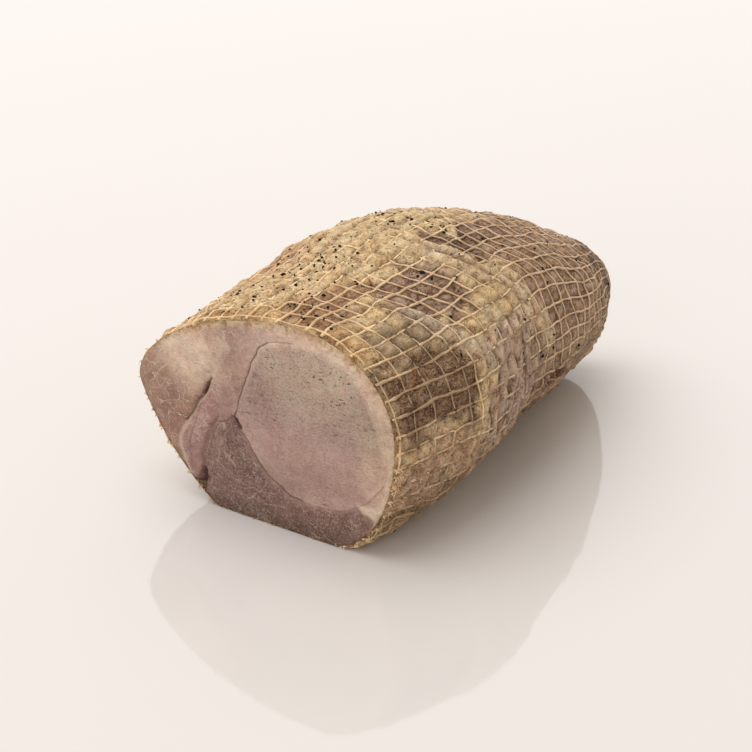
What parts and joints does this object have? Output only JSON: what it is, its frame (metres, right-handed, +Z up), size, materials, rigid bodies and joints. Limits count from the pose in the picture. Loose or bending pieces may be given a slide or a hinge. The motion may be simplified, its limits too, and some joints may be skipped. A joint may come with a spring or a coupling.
{
  "type": "netted smoked ham",
  "caption": "Boneless smoked ham in a square-meshed cotton net, lying on its side, cut square across at one end and tapering at the other, with cracked pepper on the crust.",
  "frame": {"origin": "on the table, under the middle of the whole", "axes": "+Y from the cut face to the tapered end, +Z up, +X to the right of someone facing the cut"},
  "size_m": [0.1854, 0.286, 0.1442],
  "materials": {
    "meat_and_crust": "dry smoked crust, moist satin on the cut",
    "cotton_net": "smoke-stained cotton thread",
    "peppercorn": "rough cracked peppercorn"
  },
  "bodies": {
    "root": {"ham": "meat_and_crust", "net": "cotton_net", "pepper_01": "peppercorn", "pepper_02": "peppercorn", "pepper_03": "peppercorn", "pepper_04": "peppercorn", "pepper_05": "peppercorn", "pepper_06": "peppercorn", "pepper_07": "peppercorn", "pepper_08": "peppercorn", "pepper_09": "peppercorn", "pepper_10": "peppercorn", "pepper_11": "peppercorn", "pepper_12": "peppercorn", "pepper_13": "peppercorn", "pepper_14": "peppercorn", "pepper_15": "peppercorn", "pepper_16": "peppercorn"}
  },
  "joints": []
}
